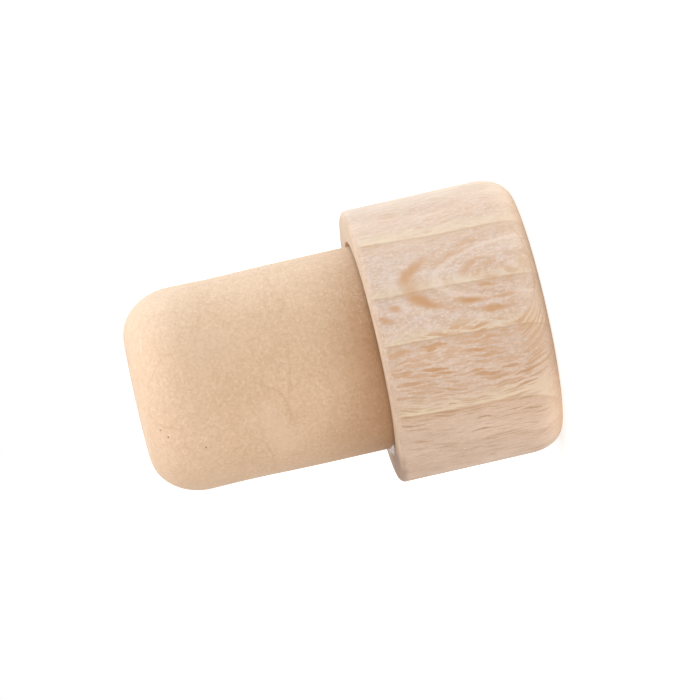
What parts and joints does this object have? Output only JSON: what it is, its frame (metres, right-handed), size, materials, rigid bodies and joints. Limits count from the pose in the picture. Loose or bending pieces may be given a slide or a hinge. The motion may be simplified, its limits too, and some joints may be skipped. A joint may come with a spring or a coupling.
{
  "type": "cork stopper",
  "caption": "Bar-top bottle stopper: a turned wooden head, its top edge rounded, glued on a straight cork shank with a rounded tip.",
  "frame": {"origin": "centre of the head's flat top, on which the stopper stands", "axes": "+Z along the stopper's axis, from the head to the tip of the shank; the bead of glue shows on the -X side"},
  "size_m": [0.028, 0.028, 0.041],
  "materials": {
    "beech": "plain turned beech, sanded and unlacquered, with ray flecks",
    "cork": "fine ground cork pressed and sanded smooth, satin",
    "dried_glue": "dried milky wood glue, glossy"
  },
  "bodies": {
    "root": {"head": "beech", "shank": "cork", "glue": "dried_glue"}
  },
  "joints": []
}
